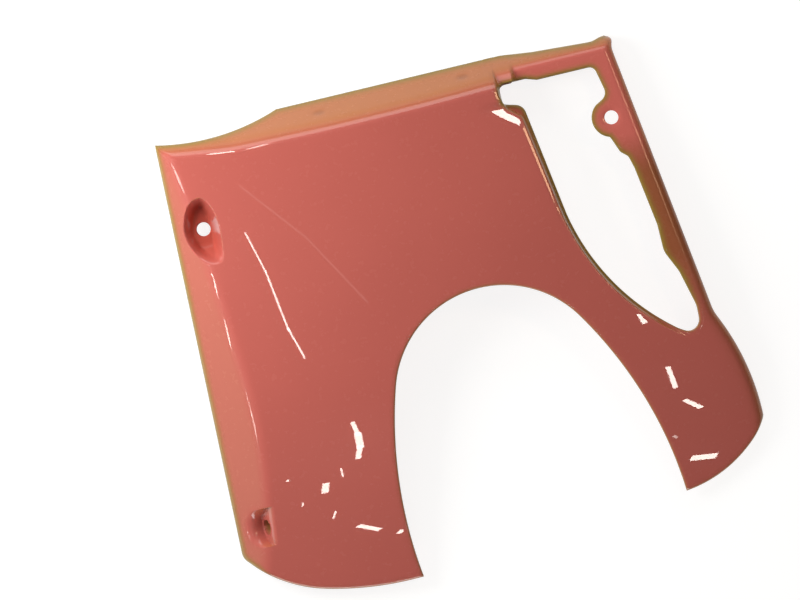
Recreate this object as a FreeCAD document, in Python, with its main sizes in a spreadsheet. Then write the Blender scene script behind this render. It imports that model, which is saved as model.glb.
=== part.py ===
import FreeCAD, Part
import Sketcher
import math
import os

document = FreeCAD.newDocument("front_inner_fender")
sizes = document.addObject("Spreadsheet::Sheet", "sizes")

# Driving dimensions in millimetres and degrees, seen from the painted side with the top edge up.
# An inset is taken from the panel's left or right extreme, a drop from its top, a rise from its bottom.
DIMENSIONS = {
    # Whole panel, its moulded wall, and the stock that the tools work in
    "overall_width": 312.0,
    "overall_height": 282.6,
    "wall": 2.5,
    "stock_margin": 30.0,
    "stock_depth": 20.0,
    # Crowned face
    "crown_height": 33.0,
    "crown_inset": 126.0,
    "crown_drop": 151.3,
    "crown_across_radius": 1200.0,
    "crown_up_radius": 2000.0,
    "crown_down_radius": 380.0,
    # Flanges folded back along the top and the left
    "top_flange_angle": 59.4,
    "left_flange_angle": 40.4,
    "left_flange_lean": 2.6,
    "left_flange_reach": 8.6,
    "fold_radius": 8.0,
    # Right wall: straight strip above, bulging leg below
    "strip_top_inset": 37.75,
    "strip_lean": 7.65,
    "kink_radius": 24.0,
    "leg_side_rise": 46.9,
    "leg_side_radius": 144.0,
    "wall_fold_radius": 6.0,
    # Set-back seat round the access opening, and the rolled lip that steps down to it
    "seat_height": 14.0,
    "seat_tilt": 2.7,
    "seat_fold_radius": 5.0,
    "seat_tuck": 4.8,
    "joggle_inset": 216.6,
    "joggle_drop": 21.3,
    "joggle_height": 5.5,
    "joggle_radius": 3.0,
    "lip_top_inset": 204.5,
    "lip_turn_drop": 29.3,
    "lip_turn_radius": 10.0,
    "lip_shoulder_inset": 215.6,
    "lip_shoulder_drop": 44.8,
    "lip_shoulder_radius": 14.0,
    "lip_bend_inset": 225.5,
    "lip_bend_drop": 98.3,
    "lip_bend_radius": 135.5,
    "lip_bend_sweep": 40.5,
    "lip_radius": 3.2,
    "lip_ledge": 2.5,
    # Access opening: tab on the left, strip and ear on the right, bar above
    "opening_corner_radius": 3.5,
    "tab_root_drop": 28.3,
    "tab_root_radius": 1.5,
    "tab_tip_inset": 218.3,
    "tab_tip_drop": 31.3,
    "tab_tip_radius": 6.5,
    "opening_foot_inset": 24.0,
    "opening_foot_drop": 185.3,
    "opening_foot_radius": 6.5,
    "strip_foot_inset": 23.6,
    "strip_foot_drop": 166.8,
    "strip_foot_radius": 14.0,
    "strip_bump_foot_inset": 28.8,
    "strip_bump_foot_drop": 145.3,
    "strip_bump_inset": 34.6,
    "strip_bump_drop": 132.3,
    "strip_bump_radius": 12.0,
    "strip_bend_inset": 34.7,
    "strip_bend_drop": 116.3,
    "ear_root_inset": 40.7,
    "ear_root_drop": 79.3,
    "ear_inset": 45.9,
    "ear_drop": 50.1,
    "ear_radius": 11.4,
    "ear_foot_angle": 245.0,
    "ear_top_angle": 128.0,
    "ear_hole_diameter": 8.0,
    "notch_inset": 45.3,
    "notch_drop": 37.0,
    "notch_radius": 5.5,
    "bar_corner_inset": 49.0,
    "bar_corner_radius": 4.0,
    "bar_drop": 19.1,
    "bar_step_inset": 82.5,
    "bar_step_run": 6.5,
    "bar_step_height": 2.1,
    # Left edge, top left corner, the dip beside it and the edge over the bar
    "left_edge_lean": 6.4,
    "left_edge_rise": 37.3,
    "corner_drop": 4.5,
    "dip_end_inset": 76.0,
    "dip_end_height": 1.6,
    "dip_radius": 124.0,
    "bar_edge_start_inset": 212.0,
    "bar_edge_turn_inset": 230.6,
    "bar_edge_turn_drop": 2.4,
    "bar_edge_low_inset": 51.5,
    "bar_edge_low_drop": 4.2,
    "bar_edge_end_drop": 0.4,
    # Left leg's foot
    "left_foot_corner_inset": 3.05,
    "left_foot_corner_rise": 31.1,
    "left_foot_corner_radius": 8.0,
    "left_foot_heel_inset": 43.15,
    "left_foot_heel_rise": 6.1,
    "left_foot_heel_radius": 80.0,
    "left_foot_sole_radius": 187.0,
    # Wheel arch
    "arch_inset": 168.8,
    "arch_drop": 190.4,
    "arch_radius": 62.3,
    "arch_left_angle": 162.5,
    "arch_right_angle": 32.2,
    "arch_left_side_radius": 260.0,
    "arch_right_side_radius": 245.0,
    # Right leg's foot
    "right_tip_rise": 12.7,
    "right_foot_heel_inset": 12.55,
    "right_foot_heel_rise": 29.9,
    "right_foot_sole_radius": 75.0,
    "right_foot_end_overrun": 4.0,
    "right_foot_end_rise": 56.3,
    "right_foot_heel_radius": 45.0,
    # Upper screw recess, with its hole square to the floor
    "recess_floor_height": 14.0,
    "recess_right_inset": 30.0,
    "recess_left_inset": 15.4,
    "recess_round_drop": 51.5,
    "recess_foot_inset": 21.5,
    "recess_foot_drop": 78.0,
    "recess_foot_rise": 4.0,
    "recess_side_radius": 36.0,
    "recess_left_splay": 12.5,
    "recess_right_splay": 1.3,
    "recess_foot_splay": 4.0,
    "recess_hole_inset": 22.5,
    "recess_hole_drop": 58.0,
    "recess_hole_diameter": 8.0,
    # Lower screw scoop, cut sideways into the left flange
    "scoop_inset": 20.3,
    "scoop_rise": 48.8,
    "scoop_height": 17.0,
    "scoop_radius": 11.0,
    "scoop_length": 40.0,
    "scoop_tilt": 25.0,
    "scoop_hole_offset": 5.5,
    "scoop_hole_diameter": 9.0,
}
for row, (name, number) in enumerate(DIMENSIONS.items(), start=1):
    sizes.set(f"A{row}", name)
    sizes.set(f"B{row}", str(number))
    sizes.setAlias(f"B{row}", name)
document.recompute()

LEFT = "-sizes.overall_width / 2"
RIGHT = "sizes.overall_width / 2"
TOP = "sizes.overall_height / 2"
BOTTOM = "-sizes.overall_height / 2"
FAR_LEFT = f"{LEFT} - sizes.stock_margin"
FAR_RIGHT = f"{RIGHT} + sizes.stock_margin"
FAR_TOP = f"{TOP} + sizes.stock_margin"
FAR_BOTTOM = f"{BOTTOM} - sizes.stock_margin"
STOCK_HEIGHT = "(sizes.crown_height + sizes.stock_depth)"
FLAT = FreeCAD.Rotation()
ACROSS = FreeCAD.Rotation(FreeCAD.Vector(1, 0, 0), 90)
ALONG = FreeCAD.Rotation(FreeCAD.Vector(1, 1, 1), 120)
AIMED_LEFT = FreeCAD.Rotation(FreeCAD.Vector(0, -1, 0), 90)
ON_LINE = 0.01
SHARP_ANGLE = math.radians(10)
# Limits on a face's normal: nearly upright, facing sideways, underside of the stock, foot end of the stock
UPRIGHT = 0.02
SIDEWAYS = 0.5
UNDERSIDE = -0.5
FOOT_END = -0.9
# A rounded end is a little more than half its chord in radius, so that its arc can always be drawn
ROUND_END = 0.52
ROUND_FOOT = 0.56


def from_left(name):
    return f"{LEFT} + sizes.{name}"


def from_right(name):
    return f"{RIGHT} - sizes.{name}"


def from_top(name):
    return f"{TOP} - sizes.{name}"


def from_bottom(name):
    return f"{BOTTOM} + sizes.{name}"


def measure(text):
    return float(sizes.evalExpression(text))


def arc_between(begin, end, radius, turn):
    """The short arc from begin to end, turning left or right as it is travelled."""
    chord = end - begin
    side = 1 if turn == "left" else -1
    sideways = FreeCAD.Vector(-chord.y, chord.x, 0).normalize() * side
    reach = math.sqrt(radius**2 - (chord.Length / 2) ** 2)
    centre = begin + chord * 0.5 + sideways * reach
    first, last = (begin, end) if turn == "left" else (end, begin)
    angles = [math.atan2(p.y - centre.y, p.x - centre.x) for p in (first, last)]
    return Part.ArcOfCircle(Part.Circle(centre, FreeCAD.Vector(0, 0, 1), radius), *angles)


def outline(name, corners, rotation=FLAT):
    """A closed sketch through corners (x, y), each tied to the sizes.

    A corner (x, y, radius, "left" or "right") leads to the next one by an arc,
    and a corner (x, y, radius, "round") between two straight sides is rounded off.
    """
    sketch = document.addObject("Sketcher::SketchObject", name)
    sketch.Placement = FreeCAD.Placement(FreeCAD.Vector(), rotation)
    points = [FreeCAD.Vector(measure(corner[0]), measure(corner[1]), 0) for corner in corners]
    turns = [corner[3] if len(corner) > 2 else "straight" for corner in corners]
    following = [(index + 1) % len(corners) for index in range(len(corners))]
    arrivals = list(points)
    departures = list(points)
    for index, turn in enumerate(turns):
        if turn == "round":
            inward = (points[index] - points[index - 1]).normalize()
            outward = (points[following[index]] - points[index]).normalize()
            setback = measure(corners[index][2]) * math.tan(inward.getAngle(outward) / 2)
            arrivals[index] = points[index] - inward * setback
            departures[index] = points[index] + outward * setback

    def draw(begin, end, radius, turn):
        if turn in ("left", "right"):
            number = sketch.addGeometry(arc_between(begin, end, measure(radius), turn), False)
        else:
            number = sketch.addGeometry(Part.LineSegment(begin, end), False)
        return (number, 2, 1) if turn == "right" else (number, 1, 2)

    def hold(kind, where, text):
        number = sketch.addConstraint(Sketcher.Constraint(kind, *where, measure(text)))
        sketch.setExpression(f"Constraints[{number}]", text)

    sides = []
    for index, corner in enumerate(corners):
        radius = corner[2] if len(corner) > 2 else None
        sides.append(draw(departures[index], arrivals[following[index]], radius, turns[index]))
    for index, corner in enumerate(corners):
        before, _, before_end = sides[index - 1]
        after, after_begin, _ = sides[index]
        if turns[index] == "round":
            swing = (points[index] - points[index - 1]).cross(points[following[index]] - points[index])
            side = "left" if swing.z > 0 else "right"
            bend, bend_begin, bend_end = draw(arrivals[index], departures[index], corner[2], side)
            vertex = sketch.addGeometry(Part.Point(points[index]), True)
            sketch.addConstraint(Sketcher.Constraint("Tangent", before, before_end, bend, bend_begin))
            sketch.addConstraint(Sketcher.Constraint("Tangent", bend, bend_end, after, after_begin))
            sketch.addConstraint(Sketcher.Constraint("PointOnObject", vertex, 1, before))
            sketch.addConstraint(Sketcher.Constraint("PointOnObject", vertex, 1, after))
            hold("Radius", (bend,), corner[2])
            held = (vertex, 1)
        else:
            joint = (before, before_end, after, after_begin)
            sketch.addConstraint(Sketcher.Constraint("Coincident", *joint))
            held = (after, after_begin)
        hold("DistanceX", (-1, 1, *held), corner[0])
        hold("DistanceY", (-1, 1, *held), corner[1])
        if turns[index] in ("left", "right"):
            hold("Radius", (after,), corner[2])
    return sketch


def grown(name, plan, growth):
    """The outline moved outward by the growth, or inward where that is negative."""
    result = document.addObject("Part::Offset2D", name)
    result.Source = plan
    result.Join = "Intersection"
    result.setExpression("Value", growth)
    return result


def prism(name, base, forward, backward="0", direction=None):
    """The solid that a closed outline sweeps out, forward and backward of its plane."""
    solid = document.addObject("Part::Extrusion", name)
    solid.Base = base
    solid.Solid = True
    solid.DirMode = "Normal" if direction is None else "Custom"
    for axis, text in zip("xyz", direction or ()):
        solid.setExpression(f"Dir.{axis}", text)
    solid.setExpression("LengthFwd", forward)
    solid.setExpression("LengthRev", backward)
    return solid


def combine(kind, name, base, tool):
    result = document.addObject(kind, name)
    result.Base = base
    result.Tool = tool
    return result


def normal_at(face, point):
    return face.normalAt(*face.Surface.parameter(point))


def fold_edges(shape, wanted):
    """Numbers of the sharp edges that the wanted test picks, leaving out the stock's underside and foot."""
    numbers = []
    for number, edge in enumerate(shape.Edges, start=1):
        middle = edge.valueAt((edge.FirstParameter + edge.LastParameter) / 2)
        faces = shape.ancestorsOfType(edge, Part.Face)
        normals = [normal_at(face, middle) for face in faces]
        sharp = len(normals) == 2 and normals[0].getAngle(normals[1]) > SHARP_ANGLE
        outward = all(normal.z > UNDERSIDE and normal.y > FOOT_END for normal in normals)
        if sharp and outward and wanted(middle, normals):
            numbers.append(number)
    return numbers


def rounded(name, base, groups):
    """The base with sharp edges rounded: each group is a test that picks edges, and their radius."""
    document.recompute()
    edges = []
    for wanted, radius in groups:
        reach = measure(radius)
        edges += [(number, reach, reach) for number in fold_edges(base.Shape, wanted)]
    result = document.addObject("Part::Fillet", name)
    result.Base = base
    result.Edges = edges
    return result


def crown(name, inset):
    """The stock under the crowned face: one section swept up and down about two axes."""
    middle = from_left("crown_inset")
    bend = f"(sizes.crown_across_radius - ({inset}))"
    low = "sizes.crown_height - sizes.crown_across_radius"

    def skyline(x):
        return f"{low} + sqrt({bend} ^ 2 - ({x} - ({middle})) ^ 2)"

    section = outline(
        f"{name}_section",
        [
            (FAR_LEFT, "-sizes.stock_depth"),
            (FAR_RIGHT, "-sizes.stock_depth"),
            (FAR_RIGHT, skyline(f"({FAR_RIGHT})"), bend, "left"),
            (FAR_LEFT, skyline(f"({FAR_LEFT})")),
        ],
        ACROSS,
    )
    section.setExpression("Placement.Base.y", from_top("crown_drop"))
    halves = []
    for side, end, sign in (("up", FAR_TOP, "-"), ("down", FAR_BOTTOM, "")):
        half = document.addObject("Part::Revolution", f"{name}_{side}")
        half.Source = section
        half.Axis = FreeCAD.Vector(1, 0, 0)
        half.Solid = True
        half.setExpression("Base.y", from_top("crown_drop"))
        half.setExpression("Base.z", f"sizes.crown_height - sizes.crown_{side}_radius")
        reach = f"abs({end} - ({from_top('crown_drop')}))"
        arm = f"(sizes.crown_{side}_radius - {STOCK_HEIGHT})"
        half.setExpression("Angle", f"{sign}atan({reach} / {arm})")
        halves.append(half)
    return combine("Part::Fuse", name, *halves)


# Plan of the stock: its right side is the panel's right wall, the rest lies outside the panel.
# The leg's bulge, the kink above it and the straight strip run into each other without a corner.
leg_x = f"({RIGHT} - sizes.leg_side_radius)"
leg_y = f"({from_bottom('leg_side_rise')})"
strip_x = f"({from_right('strip_top_inset')})"
kink_reach = "(sizes.leg_side_radius + sizes.kink_radius)"
leg_offset = f"(({leg_x} - {strip_x}) * cos(sizes.strip_lean) + ({leg_y} - {TOP}) * sin(sizes.strip_lean))"
kink_across = f"(sizes.kink_radius - {leg_offset})"
kink_up = f"sqrt({kink_reach} ^ 2 - {kink_across} ^ 2)"
kink_x = f"({leg_x} + {kink_across} * cos(sizes.strip_lean) - {kink_up} * sin(sizes.strip_lean))"
kink_y = f"({leg_y} + {kink_across} * sin(sizes.strip_lean) + {kink_up} * cos(sizes.strip_lean))"
envelope_plan = outline(
    "envelope_plan",
    [
        (FAR_LEFT, FAR_BOTTOM),
        (RIGHT, FAR_BOTTOM),
        (RIGHT, leg_y, "sizes.leg_side_radius", "left"),
        (
            f"{leg_x} + ({kink_x} - {leg_x}) * sizes.leg_side_radius / {kink_reach}",
            f"{leg_y} + ({kink_y} - {leg_y}) * sizes.leg_side_radius / {kink_reach}",
            "sizes.kink_radius",
            "right",
        ),
        (
            f"{kink_x} - sizes.kink_radius * cos(sizes.strip_lean)",
            f"{kink_y} - sizes.kink_radius * sin(sizes.strip_lean)",
        ),
        (f"{strip_x} - sizes.stock_margin * tan(sizes.strip_lean)", FAR_TOP),
        (FAR_LEFT, FAR_TOP),
    ],
)

# Lip line in plan: down from the bar, over the shoulder, straight, then bending off to the right wall.
# A heading is the angle from straight down towards the right.
lip_heading = (
    "atan((sizes.lip_bend_inset - sizes.lip_shoulder_inset)"
    " / (sizes.lip_bend_drop - sizes.lip_shoulder_drop))"
)
lip_end_heading = f"({lip_heading} + sizes.lip_bend_sweep * 1 deg)"


def lip_bend_point(heading, ledge):
    """The point of the lip's bend with this heading, or of the opening's edge a ledge beside it."""
    across = f"sizes.lip_bend_radius * (cos({lip_heading}) - cos({heading})) + {ledge} * cos({heading})"
    along = f"sizes.lip_bend_radius * (sin({lip_heading}) - sin({heading})) + {ledge} * sin({heading})"
    return f"{from_left('lip_bend_inset')} + {across}", f"{from_top('lip_bend_drop')} + {along}"


lip_end = lip_bend_point(lip_end_heading, "0")
lip_run = "sizes.lip_bend_radius"
lip_plan = outline(
    "lip_plan",
    [
        (from_left("lip_top_inset"), FAR_TOP),
        (from_left("lip_top_inset"), from_top("lip_turn_drop"), "sizes.lip_turn_radius", "round"),
        (
            from_left("lip_shoulder_inset"),
            from_top("lip_shoulder_drop"),
            "sizes.lip_shoulder_radius",
            "round",
        ),
        (from_left("lip_bend_inset"), from_top("lip_bend_drop"), "sizes.lip_bend_radius", "left"),
        lip_end,
        (
            f"{lip_end[0]} + {lip_run} * sin({lip_end_heading})",
            f"{lip_end[1]} - {lip_run} * cos({lip_end_heading})",
        ),
        (f"{lip_end[0]} + {lip_run} * sin({lip_end_heading})", FAR_TOP),
    ],
)


def on_right_wall(middle, normals):
    return any(abs(normal.z) < UPRIGHT and normal.x > SIDEWAYS for normal in normals)


def off_right_wall(middle, normals):
    return not on_right_wall(middle, normals)


def off_stock_left(middle, normals):
    return all(normal.x > -SIDEWAYS for normal in normals)


def on_lip(middle, normals):
    foot = Part.Vertex(middle.x, middle.y, 0)
    return lip_plan.Shape.distToShape(foot)[0] < ON_LINE


def tilted_block(name, walled, level):
    """The walled stock up to the seat's tilted plane, which lies at this level at the top edge."""
    profile = outline(
        f"{name}_profile",
        [
            (FAR_BOTTOM, "-sizes.stock_depth"),
            (FAR_TOP, "-sizes.stock_depth"),
            (FAR_TOP, f"{level} - sizes.stock_margin * tan(sizes.seat_tilt)"),
            (FAR_BOTTOM, f"{level} + ({TOP} - ({FAR_BOTTOM})) * tan(sizes.seat_tilt)"),
        ],
        ALONG,
    )
    slab = prism(f"{name}_slab", profile, "sizes.overall_width", "sizes.overall_width")
    return combine("Part::Common", f"{name}_block", walled, slab)


def form(name, inset):
    """The moulded form that lies the given inset under the painted side.

    The crowned face is folded back along the top, the left and the right wall.
    Right of the lip line it is cut away, and the lower seat takes its place.
    Along the bar the lip goes down in two joggles, with a short step half way.
    """
    face = crown(f"{name}_crown", inset)
    plan = envelope_plan if inset == "0" else grown(f"{name}_plan", envelope_plan, f"-({inset})")
    walls = prism(f"{name}_walls", plan, STOCK_HEIGHT, "sizes.stock_depth")

    top = f"{TOP} - ({inset}) / sin(sizes.top_flange_angle)"
    slope = "tan(sizes.top_flange_angle)"
    top_profile = outline(
        f"{name}_top_profile",
        [
            (f"{top} + sizes.stock_depth / {slope}", "-sizes.stock_depth"),
            (f"{FAR_TOP} + sizes.stock_margin", "-sizes.stock_depth"),
            (f"{FAR_TOP} + sizes.stock_margin", STOCK_HEIGHT),
            (f"{top} - {STOCK_HEIGHT} / {slope}", STOCK_HEIGHT),
        ],
        ALONG,
    )
    top_cut = prism(f"{name}_top_cut", top_profile, "sizes.overall_width", "sizes.overall_width")
    edge = f"{LEFT} - sizes.left_flange_reach + ({inset}) / sin(sizes.left_flange_angle)"
    slope = "tan(sizes.left_flange_angle)"
    left_profile = outline(
        f"{name}_left_profile",
        [
            (f"{FAR_LEFT} - 2 * sizes.stock_margin", "-sizes.stock_depth"),
            (f"{edge} - sizes.stock_depth / {slope}", "-sizes.stock_depth"),
            (f"{edge} + {STOCK_HEIGHT} / {slope}", STOCK_HEIGHT),
            (f"{FAR_LEFT} - 2 * sizes.stock_margin", STOCK_HEIGHT),
        ],
        ACROSS,
    )
    left_cut = prism(
        f"{name}_left_cut",
        left_profile,
        "sizes.overall_height",
        "sizes.overall_height",
        ("-tan(sizes.left_flange_lean)", "1", "0"),
    )
    walled = combine("Part::Cut", f"{name}_walled", walls, top_cut)
    block = combine("Part::Common", f"{name}_block", face, walled)
    flanged = combine("Part::Cut", f"{name}_flanged", block, left_cut)
    folded = rounded(
        f"{name}_folded",
        flanged,
        [
            (off_right_wall, f"sizes.fold_radius - ({inset})"),
            (on_right_wall, f"sizes.wall_fold_radius - ({inset})"),
        ],
    )

    lip = lip_plan if inset == "0" else grown(f"{name}_lip_plan", lip_plan, inset)
    lip_cut = prism(f"{name}_lip_cut", lip, STOCK_HEIGHT, STOCK_HEIGHT)
    stepped = combine("Part::Cut", f"{name}_stepped", folded, lip_cut)
    if inset == "0":
        stepped = rounded(f"{name}_lipped", stepped, [(on_lip, "sizes.lip_radius")])

    level = f"sizes.seat_height - ({inset}) / cos(sizes.seat_tilt)"
    seat_block = tilted_block(f"{name}_seat", walled, level)
    seat_fold = f"sizes.seat_fold_radius - ({inset})"
    seat_folded = rounded(f"{name}_seat_folded", seat_block, [(off_stock_left, seat_fold)])
    seat_plan = grown(f"{name}_seat_plan", lip_plan, f"{inset} + sizes.seat_tuck")
    seat_reach = prism(f"{name}_seat_reach", seat_plan, STOCK_HEIGHT, STOCK_HEIGHT)
    seat_reached = combine("Part::Common", f"{name}_seat_reached", seat_folded, seat_reach)
    seat = combine("Part::Common", f"{name}_seat", seat_reached, folded)
    seated = combine("Part::Fuse", f"{name}_seated", stepped, seat)

    joggle_left = f"{from_left('lip_top_inset')} - {inset} - sizes.seat_tuck"
    joggle_right = f"{from_left('joggle_inset')} - ({inset})"
    joggle_foot = f"{from_top('joggle_drop')} + ({inset})"
    joggle_plan = outline(
        f"{name}_joggle_plan",
        [
            (joggle_left, joggle_foot),
            (joggle_right, joggle_foot),
            (joggle_right, FAR_TOP),
            (joggle_left, FAR_TOP),
        ],
    )
    joggle_reach = prism(f"{name}_joggle_reach", joggle_plan, STOCK_HEIGHT, "sizes.stock_depth")
    joggle_block = tilted_block(f"{name}_joggle", walled, f"{level} + sizes.joggle_height")
    joggle_step = combine("Part::Common", f"{name}_joggle_step", joggle_block, joggle_reach)
    joggle_fold = f"sizes.joggle_radius - ({inset})"
    joggle_folded = rounded(f"{name}_joggle_folded", joggle_step, [(off_stock_left, joggle_fold)])
    joggle = combine("Part::Common", f"{name}_joggled", joggle_folded, folded)
    return combine("Part::Fuse", f"{name}_form", seated, joggle)


def recess(name, growth):
    """Tool for the upper screw recess: a flat egg-shaped floor that splays out to a wider mouth."""
    sections = []
    levels = [("floor", "sizes.recess_floor_height", "0"), ("mouth", "sizes.crown_height", "1")]
    for level, height, splay in levels:
        right = f"{from_left('recess_right_inset')} + {splay} * sizes.recess_right_splay"
        left = f"{from_left('recess_left_inset')} - {splay} * sizes.recess_left_splay"
        foot_left = f"{from_left('recess_foot_inset')} - {splay} * sizes.recess_foot_splay"
        foot = f"{from_top('recess_foot_drop')} - {splay} * sizes.recess_foot_splay"
        round_radius = f"{ROUND_END} * ({right} - ({left}))"
        foot_radius = f"{ROUND_FOOT} * sqrt(({right} - ({foot_left})) ^ 2 + sizes.recess_foot_rise ^ 2)"
        section = outline(
            f"{name}_{level}",
            [
                (right, from_top("recess_round_drop"), round_radius, "left"),
                (left, from_top("recess_round_drop"), "sizes.recess_side_radius", "left"),
                (foot_left, foot, foot_radius, "left"),
                (right, f"{foot} + sizes.recess_foot_rise"),
            ],
        )
        section.setExpression("Placement.Base.z", f"{height} - ({growth})")
        if growth != "0":
            section = grown(f"{name}_{level}_grown", section, growth)
        sections.append(section)
    tool = document.addObject("Part::Loft", name)
    tool.Sections = sections
    tool.Solid = True
    tool.Ruled = True
    return tool


def cylinder(name, radius, length, base, tilt=None):
    """A round tool from its base point: upright, or aimed left and tilted up by the given angle."""
    tool = document.addObject("Part::Cylinder", name)
    tool.setExpression("Radius", radius)
    tool.setExpression("Height", length)
    if tilt:
        tool.Placement = FreeCAD.Placement(FreeCAD.Vector(), AIMED_LEFT)
        tool.setExpression("Placement.Rotation.Angle", f"90 - {tilt}")
    for axis, text in zip("xyz", base):
        tool.setExpression(f"Placement.Base.{axis}", text)
    return tool


def scoop_point(back, down):
    """A point of the lower scoop: back from its end wall along the axis, and down that wall."""
    x = f"{from_left('scoop_inset')} + ({back}) * cos(sizes.scoop_tilt) - ({down}) * sin(sizes.scoop_tilt)"
    z = f"sizes.scoop_height - ({back}) * sin(sizes.scoop_tilt) - ({down}) * cos(sizes.scoop_tilt)"
    return x, from_bottom("scoop_rise"), z


def scooped(name, base, growth):
    """The form with both screw recesses let into it."""
    upper = combine("Part::Cut", f"{name}_recessed", base, recess(f"{name}_recess", growth))
    scoop = cylinder(
        f"{name}_scoop",
        f"sizes.scoop_radius + ({growth})",
        "sizes.scoop_length",
        scoop_point(growth, "0"),
        "sizes.scoop_tilt",
    )
    return combine("Part::Cut", f"{name}_scooped", upper, scoop)


def arch_side(side, tip_rise, sign):
    """Where one side of the wheel arch leaves its crown, and where it ends at the foot's tip."""
    turn = f"sizes.arch_{side}_angle"
    radius = f"sizes.arch_{side}_side_radius"
    centre_x = f"({from_left('arch_inset')} + (sizes.arch_radius - {radius}) * cos({turn}))"
    centre_y = f"({from_top('arch_drop')} + (sizes.arch_radius - {radius}) * sin({turn}))"
    tip_y = f"({BOTTOM} + {tip_rise})"
    tip_x = f"{centre_x} {sign} sqrt({radius} ^ 2 - ({tip_y} - {centre_y}) ^ 2)"
    spring_x = f"{from_left('arch_inset')} + sizes.arch_radius * cos({turn})"
    spring_y = f"{from_top('arch_drop')} + sizes.arch_radius * sin({turn})"
    return (spring_x, spring_y), (tip_x, tip_y)


left_spring, left_tip = arch_side("left", "0", "-")
right_spring, right_tip = arch_side("right", "sizes.right_tip_rise", "+")
trim_plan = outline(
    "trim_plan",
    [
        (from_left("left_edge_lean"), from_top("corner_drop")),
        (LEFT, from_bottom("left_edge_rise"), "sizes.left_foot_corner_radius", "left"),
        (
            from_left("left_foot_corner_inset"),
            from_bottom("left_foot_corner_rise"),
            "sizes.left_foot_heel_radius",
            "left",
        ),
        (
            from_left("left_foot_heel_inset"),
            from_bottom("left_foot_heel_rise"),
            "sizes.left_foot_sole_radius",
            "left",
        ),
        (*left_tip, "sizes.arch_left_side_radius", "right"),
        (*left_spring, "sizes.arch_radius", "right"),
        (*right_spring, "sizes.arch_right_side_radius", "right"),
        (*right_tip, "sizes.right_foot_sole_radius", "left"),
        (
            from_right("right_foot_heel_inset"),
            from_bottom("right_foot_heel_rise"),
            "sizes.right_foot_heel_radius",
            "left",
        ),
        (f"{RIGHT} + sizes.right_foot_end_overrun", from_bottom("right_foot_end_rise")),
        (FAR_RIGHT, from_bottom("right_foot_end_rise")),
        (FAR_RIGHT, from_top("bar_edge_end_drop")),
        (from_right("bar_edge_low_inset"), from_top("bar_edge_low_drop")),
        (from_left("bar_edge_turn_inset"), from_top("bar_edge_turn_drop")),
        (from_left("bar_edge_start_inset"), f"{TOP} + sizes.dip_end_height"),
        (from_left("bar_edge_start_inset"), FAR_TOP),
        (from_left("dip_end_inset"), FAR_TOP),
        (from_left("dip_end_inset"), f"{TOP} + sizes.dip_end_height", "sizes.dip_radius", "right"),
    ],
)

opening_left = f"{from_left('lip_top_inset')} + sizes.lip_ledge"
bar_thin = f"{from_top('bar_drop')} + sizes.bar_step_height"
ear_x = from_right("ear_inset")
ear_y = from_top("ear_drop")
opening_plan = outline(
    "opening_plan",
    [
        (opening_left, bar_thin, "sizes.opening_corner_radius", "round"),
        (opening_left, from_top("tab_root_drop"), "sizes.tab_root_radius", "round"),
        (from_left("tab_tip_inset"), from_top("tab_tip_drop"), "sizes.tab_tip_radius", "round"),
        (
            *lip_bend_point(lip_heading, "sizes.lip_ledge"),
            "sizes.lip_bend_radius - sizes.lip_ledge",
            "left",
        ),
        lip_bend_point(lip_end_heading, "sizes.lip_ledge"),
        (
            from_right("opening_foot_inset"),
            from_top("opening_foot_drop"),
            "sizes.opening_foot_radius",
            "round",
        ),
        (from_right("strip_foot_inset"), from_top("strip_foot_drop"), "sizes.strip_foot_radius", "round"),
        (
            from_right("strip_bump_foot_inset"),
            from_top("strip_bump_foot_drop"),
            "sizes.strip_bump_radius",
            "round",
        ),
        (from_right("strip_bump_inset"), from_top("strip_bump_drop"), "sizes.strip_bump_radius", "round"),
        (from_right("strip_bend_inset"), from_top("strip_bend_drop"), "sizes.strip_bump_radius", "round"),
        (from_right("ear_root_inset"), from_top("ear_root_drop"), "sizes.strip_bump_radius", "round"),
        (
            f"{ear_x} + sizes.ear_radius * cos(sizes.ear_foot_angle)",
            f"{ear_y} + sizes.ear_radius * sin(sizes.ear_foot_angle)",
            "sizes.ear_radius",
            "right",
        ),
        (
            f"{ear_x} + sizes.ear_radius * cos(sizes.ear_top_angle)",
            f"{ear_y} + sizes.ear_radius * sin(sizes.ear_top_angle)",
        ),
        (from_right("notch_inset"), from_top("notch_drop"), "sizes.notch_radius", "round"),
        (from_right("bar_corner_inset"), from_top("bar_drop"), "sizes.bar_corner_radius", "round"),
        (from_right("bar_step_inset"), from_top("bar_drop")),
        (f"{from_right('bar_step_inset')} - sizes.bar_step_run", bar_thin),
    ],
)

# The moulding is the outer form less the core, trimmed to its outline and stood on the plane of its rims.
outer = scooped("outer", form("outer", "0"), "0")
core = scooped("core", form("core", "sizes.wall"), "sizes.wall")
shell = combine("Part::Cut", "shell", outer, core)
panel = combine("Part::Common", "trimmed", shell, prism("trim", trim_plan, STOCK_HEIGHT))
panel = combine("Part::Cut", "opened", panel, prism("opening", opening_plan, STOCK_HEIGHT))
holes = [
    cylinder("ear_hole", "sizes.ear_hole_diameter / 2", STOCK_HEIGHT, (ear_x, ear_y, "0")),
    cylinder(
        "recess_hole",
        "sizes.recess_hole_diameter / 2",
        "3 * sizes.wall",
        (
            from_left("recess_hole_inset"),
            from_top("recess_hole_drop"),
            "sizes.recess_floor_height - 2 * sizes.wall",
        ),
    ),
    cylinder(
        "scoop_hole",
        "sizes.scoop_hole_diameter / 2",
        "3 * sizes.wall",
        scoop_point("2 * sizes.wall", "sizes.scoop_hole_offset"),
        "sizes.scoop_tilt",
    ),
]
for number, hole in enumerate(holes, start=1):
    panel = combine("Part::Cut", f"drilled_{number}", panel, hole)
panel.Label = "inner_fender_panel"
document.recompute()

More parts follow.
